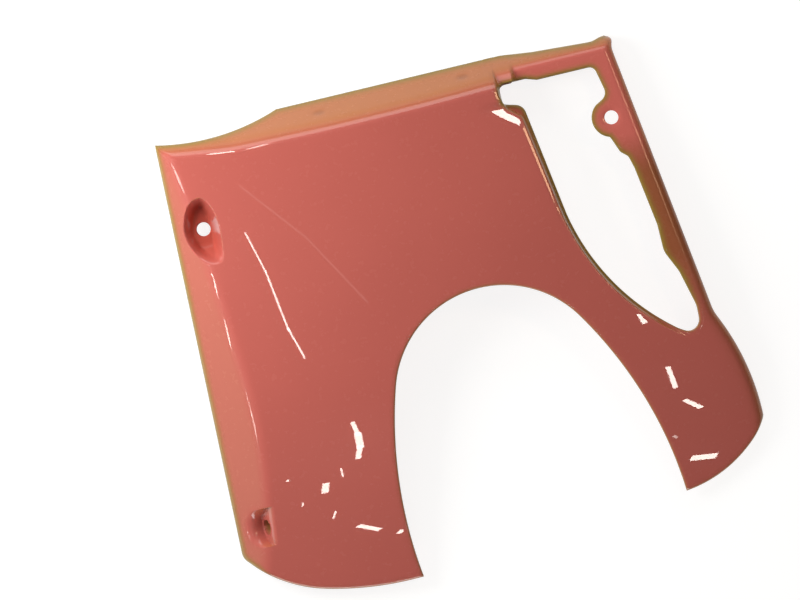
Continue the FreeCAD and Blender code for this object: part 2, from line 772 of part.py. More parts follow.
for thing in document.Objects:
    if "Invalid" in thing.State or "Error" in thing.State:
        raise RuntimeError(f"{thing.Label} did not build")
if panel.Shape.isNull() or not panel.Shape.isValid() or len(panel.Shape.Solids) != 1:
    raise RuntimeError("the panel is not one sound solid")
os.makedirs("parts", exist_ok=True)
panel.Shape.exportStep(f"parts/{panel.Label}.step")
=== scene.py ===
import math

import bpy
import numpy as np
from mathutils import Matrix, Vector
from mathutils.geometry import delaunay_2d_cdt
from mathutils.kdtree import KDTree


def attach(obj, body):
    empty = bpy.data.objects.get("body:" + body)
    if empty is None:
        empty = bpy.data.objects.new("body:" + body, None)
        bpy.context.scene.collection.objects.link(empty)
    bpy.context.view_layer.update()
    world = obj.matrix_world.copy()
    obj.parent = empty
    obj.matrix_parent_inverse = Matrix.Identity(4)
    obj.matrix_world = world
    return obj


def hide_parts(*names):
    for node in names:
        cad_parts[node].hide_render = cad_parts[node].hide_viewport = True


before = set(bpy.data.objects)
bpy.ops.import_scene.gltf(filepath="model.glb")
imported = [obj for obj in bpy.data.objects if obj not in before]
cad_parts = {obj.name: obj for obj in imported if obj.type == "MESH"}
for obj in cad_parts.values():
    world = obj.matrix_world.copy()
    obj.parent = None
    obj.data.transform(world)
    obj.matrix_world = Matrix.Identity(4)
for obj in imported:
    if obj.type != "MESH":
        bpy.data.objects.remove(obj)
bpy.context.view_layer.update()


# The panel: one injection-moulded plastic skin, sprayed gloss salmon pink on the seen side, which three
# screws hold. Its crowned face folds back along the top and the left, and drops down a wall on the right:
# a straight strip beside the access opening, a bend, and the round leg. Its sizes are in millimetres.
METRE = 1000.0
WALL = 2.5
TOP = 141.3
STRIP_TOP = np.array([118.25, TOP])
STRIP_LEAN = math.radians(7.65)
STRIP_OUT = np.array([math.cos(STRIP_LEAN), math.sin(STRIP_LEAN)])
STRIP_UP = np.array([-STRIP_OUT[1], STRIP_OUT[0]])
LEG_CENTRE, LEG_RADIUS = np.array([12.0, -94.4]), 144.0
BEND_RADIUS = 24.0
WALL_FOLD = 5.5
LOBE_BULGE, LOBE_MIDDLE, LOBE_REACH = 1.9, 135.5, 3.5
LOBE_TUCK, TUCK_BEGIN, TUCK_RUN, TUCK_MOST = 7.0, 136.4, 4.0, 2.0

bend_across = BEND_RADIUS - (LEG_CENTRE - STRIP_TOP) @ STRIP_OUT
bend_up = math.sqrt((LEG_RADIUS + BEND_RADIUS) ** 2 - bend_across**2)
BEND_CENTRE = LEG_CENTRE + bend_across * STRIP_OUT + bend_up * STRIP_UP
LEG_END = LEG_CENTRE + (BEND_CENTRE - LEG_CENTRE) * LEG_RADIUS / (LEG_RADIUS + BEND_RADIUS)
STRIP_END = BEND_CENTRE - BEND_RADIUS * STRIP_OUT


def flare(y):
    """How far the right wall stands out at the rounded lobe of its top corner."""
    bulge = LOBE_BULGE * np.exp(-(((y - LOBE_MIDDLE) / LOBE_REACH) ** 2))
    return bulge - LOBE_TUCK * np.clip((y - TUCK_BEGIN) / TUCK_RUN, 0, TUCK_MOST) ** 2


def wall_gap(points):
    """How far inside the right wall each point is, in plan."""
    strip = (STRIP_TOP - points) @ STRIP_OUT + flare(points[:, 1]) * STRIP_OUT[0]
    bend = np.linalg.norm(points - BEND_CENTRE, axis=1) - BEND_RADIUS
    leg = LEG_RADIUS - np.linalg.norm(points - LEG_CENTRE, axis=1)
    foot = LEG_CENTRE[0] + LEG_RADIUS - points[:, 0]
    on_strip = (points - STRIP_END) @ STRIP_UP > 0
    on_bend = np.cross(LEG_END - LEG_CENTRE, points - LEG_CENTRE) > 0
    at_foot = points[:, 1] < LEG_CENTRE[1]
    return np.where(on_strip, strip, np.where(on_bend, bend, np.where(at_foot, foot, leg)))


# The lip: the rolled edge over which the face steps down to the set-back seat round the access opening.
# It runs down from the top beside the opening, turns a corner, and curves away past the right leg.
PAST_TOP = TOP + 10
PAST_WALL = 222.9
LIP_STEP = 0.8
LIP_CORNERS = [
    (49.6, PAST_TOP),
    (49.8, 118.0, 8),
    (52.4, 109.4, 4),
    (60.0, 103.4, 5),
    (69.5, 43.0, 135.5, "left"),
    (117.6, -37.4),
    (PAST_WALL, -122.7),
]


def swept(begin, end, radius, turn, step):
    """Points along the short arc from begin to just before end, turning left or right."""
    chord = end - begin
    length = math.hypot(*chord)
    side = 1 if turn == "left" else -1
    sideways = np.array([-chord[1], chord[0]]) / length * side
    centre = (begin + end) / 2 + sideways * math.sqrt(max(radius**2 - length**2 / 4, 0.0))
    start = math.atan2(*(begin - centre)[::-1])
    sweep = 2 * math.asin(min(length / 2 / radius, 1.0)) * side
    count = max(int(abs(sweep) * radius / step), 2)
    angles = start + sweep * np.arange(count) / count
    return centre + radius * np.stack([np.cos(angles), np.sin(angles)], -1)


def traced(corners, step=1.2, closed=True):
    """Points along an outline through corners (x, y).

    (x, y, radius) has its corner rounded, and (x, y, radius, turn) leads to the next corner by an arc.
    """
    points = [np.array(corner[:2], float) for corner in corners]
    arrive, leave = list(points), list(points)
    count = len(points)
    for i, corner in enumerate(corners):
        if len(corner) == 3:
            inward = points[i] - points[i - 1]
            outward = points[(i + 1) % count] - points[i]
            inward, outward = inward / math.hypot(*inward), outward / math.hypot(*outward)
            setback = corner[2] * math.tan(math.acos(np.clip(inward @ outward, -1, 1)) / 2)
            arrive[i] = points[i] - inward * setback
            leave[i] = points[i] + outward * setback
    path = []
    for i, corner in enumerate(corners):
        if len(corner) == 3:
            turn = np.cross(points[i] - points[i - 1], points[(i + 1) % count] - points[i])
            path.append(swept(arrive[i], leave[i], corner[2], "left" if turn > 0 else "right", step))
        if i == count - 1 and not closed:
            path.append(points[i][None])
            break
        end = arrive[(i + 1) % count]
        if len(corner) == 4:
            path.append(swept(leave[i], end, corner[2], corner[3], step))
        else:
            pieces = max(int(math.hypot(*(end - leave[i])) / step), 1)
            path.append(leave[i] + (end - leave[i]) * np.arange(pieces)[:, None] / pieces)
    return np.concatenate(path)


lip_line = traced(LIP_CORNERS, LIP_STEP, closed=False)
lip_area = np.concatenate([lip_line, [(PAST_WALL, PAST_TOP)]])


def away(points, path, closed=True):
    """How far each point is from a path."""
    begins = path if closed else path[:-1]
    ends = np.roll(path, -1, 0) if closed else path[1:]
    nearest = np.full(len(points), np.inf)
    for begin, end in zip(begins, ends):
        run = end - begin
        share = np.clip((points - begin) @ run / max(run @ run, 1e-12), 0, 1)
        gap = points - begin - share[:, None] * run
        nearest = np.minimum(nearest, np.einsum("ij,ij->i", gap, gap))
    return np.sqrt(nearest)


def within(points, path):
    """Which points a closed path goes round."""
    inside = np.zeros(len(points), bool)
    x, y = points.T
    for (x0, y0), (x1, y1) in zip(path, np.roll(path, -1, 0)):
        if y0 != y1:
            inside ^= ((y0 > y) != (y1 > y)) & (x < (x1 - x0) * (y - y0) / (y1 - y0) + x0)
    return inside


# The face: crowned both ways, with the top flange rising a little toward its left end. The seat lies lower
# behind the lip, and the bar over the opening joggles up from it halfway to the face. The lip has a narrow
# bevel along it and a small flat at its corner.
CROWN_HEIGHT, CROWN_PEAK = 33.0, (-30.0, -10.0)
CROWN_ACROSS, CROWN_UP, CROWN_DOWN = 1200.0, 2000.0, 380.0
TOP_SLOPE, TOP_FOLD = math.tan(math.radians(59.4)), 9.0
LIFT_BEGIN, LIFT_RUN, LIFT_MOST, LIFT_RISE, LIFT_EASE = -104.0, 36.0, 1.3, 3.4, 0.15
LEFT_FOOT, LEFT_LEAN = -164.6, math.tan(math.radians(2.6))
LEFT_SLOPE, LEFT_FOLD = math.tan(math.radians(40.4)), 3.2
SEAT_HEIGHT, SEAT_SLOPE = 14.0, math.tan(math.radians(2.7))
SEAT_FOLD, SEAT_EASE = 6.0, 1.5
JOGGLE_ACROSS, JOGGLE_UP, JOGGLE_SHARE = (61.6, 59.6), (117.0, 121.0), 0.5
FLAT_EDGE, FLAT_TOWARD, FLAT_WIDTH = (48.4, 103.6), (0.6, 0.8), 14.0
FLAT_FADE, FLAT_EASE, FLAT_BLEND = (110.5, 116.5), 0.6, 3.0
BEVEL_SLOPE, BEVEL_WIDTH, BEVEL_EASE = math.tan(math.radians(10)), 3.0, 0.15
BEVEL_FADE, BEVEL_MOST = (30.0, 48.0), 0.3
LIP_ROLL, ROLL_MOST, LIP_FALL = 1.0, 0.6, 1.0


def between(value, begin, end):
    """Share of the way from begin to end, held at 0 before it and 1 after it."""
    return np.clip((value - begin) / (end - begin), 0, 1)


def smooth(share):
    """The share eased at both ends."""
    return share**2 * (3 - 2 * share)


def started(value, ease):
    """A straight ramp with a softened start."""
    return value**2 / (value + ease)


def softly_less(a, b, reach):
    """The lower of two heights, eased over where they cross."""
    ease = np.clip(1 - np.abs(a - b) / reach, 0, 1)
    return np.minimum(a, b) - ease**2 * reach / 4


def rolled(gap, radius):
    """The drop of a rolled edge at this distance inside it."""
    rise = np.clip(radius - gap, 0, radius)
    return radius - np.sqrt(np.maximum(radius**2 - rise**2, 0))


def sag(distance, radius):
    """How far an arch of this radius falls at this distance from its peak."""
    return radius - np.sqrt(radius**2 - distance**2)


def folded_face(x, y):
    """Height of the crowned face with its two flanges, and of the top flange alone."""
    up = y - CROWN_PEAK[1]
    fall = np.where(up > 0, sag(up, CROWN_UP), sag(up, CROWN_DOWN))
    crown = CROWN_HEIGHT - sag(x - CROWN_PEAK[0], CROWN_ACROSS) - fall
    leftward = np.clip((LIFT_BEGIN - x) / LIFT_RUN, 0, LIFT_MOST)
    top_flange = (TOP + LIFT_RISE * started(leftward, LIFT_EASE) - y) * TOP_SLOPE
    left_flange = (x - LEFT_FOOT + LEFT_LEAN * y) * LEFT_SLOPE
    return softly_less(softly_less(crown, top_flange, TOP_FOLD), left_flange, LEFT_FOLD), top_flange


def set_back_seat(x, y, face, top_flange):
    """Height of the seat round the access opening, with the joggle in the bar above it."""
    seat = softly_less(SEAT_HEIGHT + (TOP - y) * SEAT_SLOPE, top_flange, SEAT_FOLD)
    seat = softly_less(seat, face, SEAT_EASE)
    joggle = between(x, *JOGGLE_ACROSS) * between(y, *JOGGLE_UP)
    return seat + JOGGLE_SHARE * (face - seat) * smooth(joggle)


def onto_flat(x, y):
    """How far each point is over the flat at the lip's corner."""
    over = (x - FLAT_EDGE[0]) * FLAT_TOWARD[0] + (y - FLAT_EDGE[1]) * FLAT_TOWARD[1]
    return np.clip(over, 0, FLAT_WIDTH) * (1 - smooth(between(y, *FLAT_FADE)))


def over_lip(points, face, seat, flat):
    """Height of the face, taken over the bevel and the rolled lip and down to the seat."""
    step = face - seat
    past_lip = away(points, lip_line, closed=False) * np.where(within(points, lip_area), 1, -1)
    bevel = BEVEL_SLOPE * started(np.clip(BEVEL_WIDTH + past_lip, 0, BEVEL_WIDTH), BEVEL_EASE)
    bevel = bevel * np.clip(1 - flat / FLAT_BLEND, 0, 1) * between(points[:, 1], *BEVEL_FADE)
    bevel = np.minimum(bevel, BEVEL_MOST * step)
    roll = np.minimum(LIP_ROLL, ROLL_MOST * (step - bevel))
    fall = (step - bevel - roll) * np.clip(past_lip / LIP_FALL, 0, 1)
    return face - bevel - (rolled(-past_lip, roll) + fall)


# The two screw recesses: a pear-shaped bowl pressed into the face at the upper left, and a round scoop in
# the left flange below, aimed left and up with a steep end wall for its screw.
RECESS_FLOOR, RECESS_SIDE, RECESS_RAMP, RECESS_ROUND = 14.0, 5.6, (58.5, 75.5), 0.7
RECESS_MOUTH = [
    (-132.2, 101.2),
    (-138.4, 98.9),
    (-143.0, 91.5),
    (-144.9, 82.0),
    (-141.9, 71.5),
    (-135.6, 63.3),
    (-130.6, 61.0),
    (-126.2, 63.4),
    (-124.6, 73.4),
    (-123.9, 83.7),
    (-125.4, 92.0),
    (-128.3, 98.6),
]
SCOOP_X, SCOOP_Y, SCOOP_HEIGHT = -135.7, -92.5, 17.0
SCOOP_RADIUS, SCOOP_TILT, SCOOP_EASE = 11.0, math.radians(25), 4.6
NO_SCOOP = 99.0


def eased(corners, steps=9):
    """A smooth closed curve through the corners."""
    p = np.array(corners)
    before, after, beyond = np.roll(p, 1, 0), np.roll(p, -1, 0), np.roll(p, -2, 0)
    t = np.arange(steps)[:, None, None] / steps
    curve = p + t * (after - before) / 2
    curve = curve + t**2 * (before - 2.5 * p + 2 * after - beyond / 2)
    curve = curve + t**3 * (beyond - before + 3 * (p - after)) / 2
    return curve.transpose(1, 0, 2).reshape(-1, 2)


recess_mouth = eased(RECESS_MOUTH)


def recess_share(points):
    """How far down its recess each point lies, from 0 at the mouth to 1 on the floor round the hole."""
    into = away(points, recess_mouth) * np.where(within(points, recess_mouth), 1, -1)
    side = np.clip(into / RECESS_SIDE, 0, 1)
    bowl = (1 - RECESS_ROUND) * smooth(side) + RECESS_ROUND * np.sin(side * math.pi / 2)
    return bowl * smooth(between(points[:, 1], *RECESS_RAMP))


def scoop_height(x, y):
    """Height of the lower screw scoop, far above the face where there is none."""
    off = np.clip(np.abs(y - SCOOP_Y), 0, SCOOP_RADIUS)
    trough = SCOOP_HEIGHT - math.tan(SCOOP_TILT) * (x - SCOOP_X)
    trough = trough - np.sqrt(SCOOP_RADIUS**2 - off**2) / math.cos(SCOOP_TILT)
    end_wall = SCOOP_HEIGHT + (x - SCOOP_X) / math.tan(SCOOP_TILT)
    return np.where(off < SCOOP_RADIUS, np.maximum(trough, end_wall), NO_SCOOP)


def skin_height(points):
    """Height of the painted side over each point of the plan."""
    x, y = points.T
    face, top_flange = folded_face(x, y)
    seat = set_back_seat(x, y, face, top_flange)
    flat = onto_flat(x, y)
    face = face - BEVEL_SLOPE * started(flat, FLAT_EASE)
    height = over_lip(points, face, seat, flat) - rolled(wall_gap(points), WALL_FOLD)
    height = height - (height - RECESS_FLOOR) * recess_share(points)
    height = softly_less(height, scoop_height(x, y), SCOOP_EASE)
    return np.maximum(height, 0)


# The outline: trimmed with a knife after moulding, from the top left corner down the left flange, round
# the feet and the wheel arch, up past the right wall and back along the top. The access opening with its
# ear and the three screw holes are cut out of it.
ARCH_CENTRE, ARCH_RADIUS = np.array([12.8, -49.1]), 62.3
LEFT_ARCH, RIGHT_ARCH = 260, 245
CLEAR_OF_WALL = 0.3
HALVINGS = 40


def arch_side(turn, radius, tip_y, sign):
    """Where a side of the wheel arch springs from its round top, and its tip at the foot."""
    toward = np.array([math.cos(math.radians(turn)), math.sin(math.radians(turn))])
    spring = ARCH_CENTRE + ARCH_RADIUS * toward
    centre = ARCH_CENTRE + (ARCH_RADIUS - radius) * toward
    return spring, (centre[0] + sign * math.sqrt(radius**2 - (tip_y - centre[1]) ** 2), tip_y)


left_spring, left_tip = arch_side(162.5, LEFT_ARCH, -TOP, -1)
right_spring, right_tip = arch_side(32.2, RIGHT_ARCH, -128.6, 1)
trim_line = traced(
    [
        # left flange and left foot
        (-149.6, 136.8),
        (-156, -104, 8, "left"),
        (-152.95, -110.2, 80, "left"),
        (-112.85, -135.2, 187, "left"),
        # wheel arch
        (*left_tip, LEFT_ARCH, "right"),
        (*left_spring, ARCH_RADIUS, "right"),
        (*right_spring, RIGHT_ARCH, "right"),
        # right foot, then a way round outside the right wall, which cuts it off
        (*right_tip, 75, "left"),
        (143.45, -111.4, 45, "left"),
        (160, -85),
        (186, -85),
        (186, 140.9),
        # lobe at the top right corner, and the top edge
        (118.6, 138.8),
        (114.6, 138.2, 6),
        (109.4, 136.6, 12),
        (104.5, 136.9),
        (74.6, 138.9),
        (56, TOP),
        (-77, TOP, 124, "right"),
    ]
)


def meets_wall(here, there):
    """Where the line from here to there crosses the right wall."""
    begins_inside = wall_gap(here[None])[0] > 0
    low, high = 0.0, 1.0
    for _ in range(HALVINGS):
        middle = (low + high) / 2
        inside = wall_gap((here + (there - here) * middle)[None])[0] > 0
        low, high = (middle, high) if inside == begins_inside else (low, middle)
    return here + (there - here) * low


trim_gaps = wall_gap(trim_line)
next_points, next_gaps = np.roll(trim_line, -1, 0), np.roll(trim_gaps, -1)
kept = []
for here, there, gap, next_gap in zip(trim_line, next_points, trim_gaps, next_gaps):
    if gap > CLEAR_OF_WALL:
        kept.append(here)
    if (gap > 0) != (next_gap > 0):
        kept.append(meets_wall(here, there))
        if gap > 0:
            wall_at = len(kept)
wall_foot, wall_head = kept[wall_at - 1], kept[wall_at]
wall_corners = [
    (*wall_foot,),
    (LEG_CENTRE[0] + LEG_RADIUS, LEG_CENTRE[1], LEG_RADIUS, "left"),
    (*LEG_END, BEND_RADIUS, "right"),
    (*STRIP_END,),
    (STRIP_TOP[0] + (TOP - wall_head[1]) * math.tan(STRIP_LEAN), wall_head[1]),
]
wall_line = traced(wall_corners, closed=False)[1:-1]
wall_line[:, 0] += np.where(wall_line[:, 1] > STRIP_END[1], flare(wall_line[:, 1]), 0)
outer_line = np.concatenate([kept[:wall_at], wall_line, kept[wall_at:]])
wall_run = outer_line[wall_at - 1 : wall_at + len(wall_line) + 1]
trim_run = np.concatenate([kept[wall_at:], kept[:wall_at]])

EAR_CENTRE, EAR_RADIUS = np.array([110.1, 91.2]), 11.4
SCREW_HOLE, SCOOP_HOLE, HOLE_STEPS = 4.0, 4.5, 40
RECESS_SCREW, SCOOP_SCREW = np.array([-133.5, 83.3]), np.array([-138.02, SCOOP_Y])
ear_turns = np.radians([252, 128])
ear_foot, ear_head = EAR_CENTRE + EAR_RADIUS * np.stack([np.cos(ear_turns), np.sin(ear_turns)], -1)
opening_line = traced(
    [
        # left side along the lip
        (51.0, 124.3, 3.5),
        (51.0, 113.0, 1.5),
        (62.3, 110.0, 6.5),
        (72.0, 43.5, 133, "left"),
        (119.2, -35.8),
        # right side along the strip, with the small tab and the step below the ear
        (132.0, -44.0, 6.5),
        (132.4, -25.5, 14),
        (127.2, -4.0, 12),
        (121.4, 9.0, 12),
        (121.3, 25.0, 12),
        (116.2, 60.0, 14),
        (114.3, 67.2, 3.5),
        (110.4, 70.6, 4),
        (107.4, 78.6, 3),
        # ear, and the bar at the top
        (*ear_foot, EAR_RADIUS, "right"),
        (*ear_head,),
        (110.7, 104.3, 5.5),
        (107.0, 122.2, 4),
        (73.5, 122.2),
        (67.0, 124.3),
    ]
)
hole_turns = np.linspace(0, 2 * math.pi, HOLE_STEPS, endpoint=False)
circle = np.stack([np.cos(hole_turns), np.sin(hole_turns)], -1)
ear_hole = EAR_CENTRE + SCREW_HOLE * circle
recess_hole = RECESS_SCREW + SCREW_HOLE * circle
scoop_hole = SCOOP_SCREW + np.array([SCOOP_HOLE * math.sin(SCOOP_TILT), SCOOP_HOLE]) * circle
loops = [outer_line, opening_line, ear_hole, recess_hole, scoop_hole]

# The net: points over the plan that the skin is drawn on, in rows along the edges, the lip and the wall, and
# in a triangular net elsewhere, closer along the folds and closest at the screw recesses.
LOW_CORNER, HIGH_CORNER = (-157.0, -142.0), (157.0, 142.0)
EDGE_ROWS = (0.15, 0.5, 1.2)
LIP_ROWS = (-3.1, -2.7, -2.2, -1.1, -0.8, -0.5, -0.2, -0.05, 0.3, 0.9, 1.6)
WALL_ROWS = (0.05, 0.2, 0.5, 0.95, 1.5, 2.2, 3.0, 4.0, 5.2)
ROW_SLACK, ROW_CLEAR = 0.03, 0.04
PLAIN_PITCH, FOLD_PITCH, RECESS_PITCH = 2.0, 1.0, 0.6
EDGE_CLEAR, FEATURE_CLEAR = 0.5, 0.55
TOP_FOLD_Y, TOP_FOLD_HALF = 126.5, 10.5
LEFT_FOLD_X, LEFT_FOLD_LEAN, LEFT_FOLD_HALF = -138.0, 0.02, 7.0
LIP_CORNER_BOX = (52, 106), (13, 14)
RECESS_BOX = (-135, 81.5), (14, 25)
SCOOP_BOX = (-141, SCOOP_Y), (11, 13)
PLAN_WELD = 1e-5


def grid(low, high, pitch):
    """Points of a triangular net over a box of the plan."""
    rows = np.arange(low[1], high[1], pitch * math.sqrt(0.75))
    columns = np.arange(low[0], high[0], pitch)
    x, y = np.meshgrid(columns, rows)
    x = x + np.where(np.arange(len(rows)) % 2, pitch / 2, 0)[:, None]
    return np.stack([x.ravel(), y.ravel()], -1)


def beside(path, offset, closed=True):
    """The path moved sideways, to its left for a positive offset, without the bits that fold over."""
    after = np.roll(path, -1, 0) if closed else np.concatenate([path[1:], path[-1:]])
    before = np.roll(path, 1, 0) if closed else np.concatenate([path[:1], path[:-1]])
    run = after - before
    left = np.stack([-run[:, 1], run[:, 0]], -1) / np.linalg.norm(run, axis=1)[:, None]
    moved = path + left * offset
    return moved[away(moved, path, closed) > abs(offset) - ROW_SLACK]


def on_panel(points):
    """Which points lie on the panel, in plan."""
    inside = within(points, outer_line)
    for hole in loops[1:]:
        inside &= ~within(points, hole)
    return inside


def loop_gap(points, paths):
    """How far each point is from the nearest of some closed paths."""
    return np.min([away(points, path) for path in paths], axis=0)


def in_box(points, middle, half):
    """Which points lie in a box of the plan, given by its middle and half of its sides."""
    return np.all(np.abs(points - middle) < half, axis=1)


def pitch_at(points):
    """The pitch that the net needs at each point."""
    x, y = points.T
    folds = np.abs(y - TOP_FOLD_Y) < TOP_FOLD_HALF
    folds |= np.abs(x - LEFT_FOLD_X + LEFT_FOLD_LEAN * y) < LEFT_FOLD_HALF
    folds |= in_box(points, *LIP_CORNER_BOX)
    recesses = in_box(points, *RECESS_BOX) | in_box(points, *SCOOP_BOX)
    return np.where(recesses, RECESS_PITCH, np.where(folds, FOLD_PITCH, PLAIN_PITCH))


row_points = np.concatenate(
    [beside(outer_line, row) for row in EDGE_ROWS]
    + [beside(opening_line, -row) for row in EDGE_ROWS]
    + [beside(lip_line, row, closed=False) for row in LIP_ROWS]
    + [beside(wall_run, row, closed=False) for row in WALL_ROWS]
)
row_points = row_points[on_panel(row_points)]
row_points = row_points[loop_gap(row_points, loops) > ROW_CLEAR]
near_rows = KDTree(len(row_points))
for i, (x, y) in enumerate(row_points):
    near_rows.insert((x, y, 0), i)
near_rows.balance()
net_points = []
for pitch in (PLAIN_PITCH, FOLD_PITCH, RECESS_PITCH):
    net = grid(LOW_CORNER, HIGH_CORNER, pitch)
    net = net[pitch_at(net) == pitch]
    net = net[on_panel(net)]
    net = net[loop_gap(net, loops) > EDGE_CLEAR * pitch]
    apart = np.array([near_rows.find((x, y, 0))[2] for x, y in net])
    net_points.append(net[apart > FEATURE_CLEAR * pitch])

plan_points = np.concatenate([*loops, row_points, *net_points])
loop_edges, first = [], 0
for loop in loops:
    loop_edges += [(first + i, first + (i + 1) % len(loop)) for i in range(len(loop))]
    first += len(loop)
plan, _, triangles, *_ = delaunay_2d_cdt([Vector(p) for p in plan_points], loop_edges, [], 0, PLAN_WELD)
plan = np.array([tuple(p) for p in plan])
triangles = np.array([t for t in triangles if len(t) == 3])
triangles = triangles[on_panel(plan[triangles].mean(1))]
used, triangles = np.unique(triangles, return_inverse=True)
plan, triangles = plan[used], triangles.reshape(-1, 3)

# The skin: the painted side over the net, with its edges and holes rolled over and two faint sink marks in
# the top flange. The back is the same skin one wall deeper, and the right wall goes straight down to the
# plane of the rims. The hole in the scoop has a short collar behind it.
EDGE_ROLL, HOLE_ROLL = 1.2, 0.6
SINK_MARKS, SINK_HALF, SINK_DEPTH = ((-53.05, 133.2), (32.35, 134.0)), (3.6, 1.6), 0.5
COLLAR = 4.4
STEEPEST_CUT, LEAST_RISE = 0.3, 0.05
FOLD_BEHIND_WALL = 0.5
ON_LINE = 1e-3
NUDGE = 0.01
SHARP_FROM = math.radians(38)
WELD_DIGITS = 4


def normals_of(points):
    """Normal of the skin at each of its points."""
    a, b, c = (points[triangles[:, i]] for i in range(3))
    facing = np.cross(b - a, c - a)
    total = np.zeros_like(points)
    for i in range(3):
        np.add.at(total, triangles[:, i], facing)
    return total / np.linalg.norm(total, axis=1)[:, None]


def oval(points, middle, half):
    """1 over an oval of the plan, falling softly to 0 round it."""
    offset = (points - np.array(middle)) / np.array(half)
    return np.exp(-((offset[:, 0] ** 2 + offset[:, 1] ** 2) ** 2))


height = skin_height(plan)
plain = np.column_stack([plan, height])
out = normals_of(plain)
edge_gap = np.minimum(away(plan, trim_run, closed=False), away(plan, opening_line))
sink_marks = sum(oval(plan, mark, SINK_HALF) for mark in SINK_MARKS)
drop = rolled(edge_gap, EDGE_ROLL) + rolled(loop_gap(plan, loops[2:]), HOLE_ROLL) + SINK_DEPTH * sink_marks
painted = plain - np.column_stack([np.zeros_like(plan), drop])
painted[:, 2] = np.maximum(painted[:, 2], 0)

directed = {(t[i], t[(i + 1) % 3]) for t in triangles.tolist() for i in range(3)}
sides = np.sort(np.concatenate([triangles[:, [0, 1]], triangles[:, [1, 2]], triangles[:, [2, 0]]]), axis=1)
sides, uses = np.unique(sides, axis=0, return_counts=True)
rim_edges = [(a, b) if (a, b) in directed else (b, a) for a, b in sides[uses == 1].tolist()]
on_rim = np.zeros(len(plan), bool)
on_rim[np.unique(rim_edges)] = True
off_wall = wall_gap(plan)
on_wall = on_rim & (np.abs(off_wall) < ON_LINE)
drilled = on_rim & (away(plan, scoop_hole) < ON_LINE)
cut_down = on_rim & ~on_wall & ~drilled & (out[:, 2] > STEEPEST_CUT)

back = plain - WALL * out
back[drilled] = plain[drilled] - COLLAR * np.array([-math.cos(SCOOP_TILT), 0, math.sin(SCOOP_TILT)])
through = WALL / np.maximum(out[:, 2], LEAST_RISE)
back[cut_down, :2] = plan[cut_down]
back[cut_down, 2] = (height - through)[cut_down]
slope = np.stack([wall_gap(plan + [NUDGE, 0]) - off_wall, wall_gap(plan + [0, NUDGE]) - off_wall], -1) / NUDGE
from_wall = slope / np.linalg.norm(slope, axis=1)[:, None]
back[on_wall, :2] = plan[on_wall] + WALL * from_wall[on_wall]
back[on_wall, 2] = np.maximum(height[on_wall] - FOLD_BEHIND_WALL, 0)
back[:, 2] = np.maximum(back[:, 2], 0)
below = cut_down & (height - through < 0)
lean = out[:, :2] / np.maximum(np.linalg.norm(out[:, :2], axis=1), 1e-6)[:, None]
shift = np.clip((through - height) * out[:, 2], 0, WALL)
back[below, :2] = plan[below] - (lean * shift[:, None])[below]

count = len(plan)
faces = triangles.tolist() + (triangles[:, ::-1] + count).tolist()
feet = {i: 2 * (count + order) for order, i in enumerate(np.nonzero(on_wall)[0].tolist())}
wall_feet = [p for i in feet for p in ((*painted[i, :2], 0.0), (*back[i, :2], 0.0))]
for a, b in rim_edges:
    if a in feet and b in feet:
        faces.append((b, a, feet[a], feet[b]))
        faces.append((a + count, b + count, feet[b] + 1, feet[a] + 1))
        faces.append((feet[b], feet[a], feet[a] + 1, feet[b] + 1))
    else:
        faces.append((b, a, a + count, b + count))
        for i in {a, b} & feet.keys():
            cap = (i, i + count, feet[i] + 1, feet[i])
            faces.append(cap if i == b else cap[::-1])

skin = np.concatenate([painted, back, wall_feet]).round(WELD_DIGITS)
skin, source, welded = np.unique(skin, axis=0, return_index=True, return_inverse=True)
faces = [list(dict.fromkeys(welded.ravel()[list(face)].tolist())) for face in faces]
faces = [face for face in faces if len(face) > 2]

panel_mesh = bpy.data.meshes.new("inner fender panel")
panel_mesh.from_pydata((skin / METRE).tolist(), [], faces)
panel_mesh.update()
panel_mesh.shade_smooth()
panel_mesh.set_sharp_from_angle(angle=SHARP_FROM)
panel = bpy.data.objects.new("fender_skin", panel_mesh)
bpy.context.scene.collection.objects.link(panel)

# The paint: salmon pink under a clear gloss coat, brown on the lower seat, which it hardly reached, and
# darker in the two sink marks. Its other tints are painted light: paler on the upper seat for light falling
# on it, tan on the steep flanges and olive along the cut edges as painted reflections and bounce light of a
# warm table, a lighter tan painted sheen on the left flange, and painted shade along the foot of the right
# wall and in the screw recess. The back is partly olive, and the collar behind the scoop's hole fully so.
# These shares say where each of them is.
EDGE_REFLECTION_WIDTH, EDGE_WIDTH_FADED, EDGE_REFLECTION_FADED = 2.2, 1.4, 0.3
EDGE_FADE_ARCH, EDGE_FADE_FLANGE, EDGE_FADE_SEAT = (40, 10), (-150, -142), (-10, -30)
BACK_TINT, WALL_FOOT_TAN = 0.35, 0.8
LEVEL_TO_STEEP, LEFT_FACING = (0.93, 0.6), (0, -0.5)
LEAST_RECESSED = 0.02
SCOOP_OVAL = (-141, SCOOP_Y), (9, 12)
BARE_TOP, BARE_FOOT = (80, 56), (-42, 8)
WALL_SHADE_MOST, WALL_SHADE_REACH, WALL_SHADE_TOP = 0.45, 6, 30
SINK_DARKENING = 0.6
SEAT_LIGHT_FROM = (60, 80)


def over_all(painted_share, back_share=0, foot_share=0):
    """A share for each point of the mesh, from those of the painted side, the back and the wall's feet."""
    shares = [painted_share, np.full(count, back_share), np.full(len(wall_feet), foot_share)]
    return np.concatenate(shares)[source]


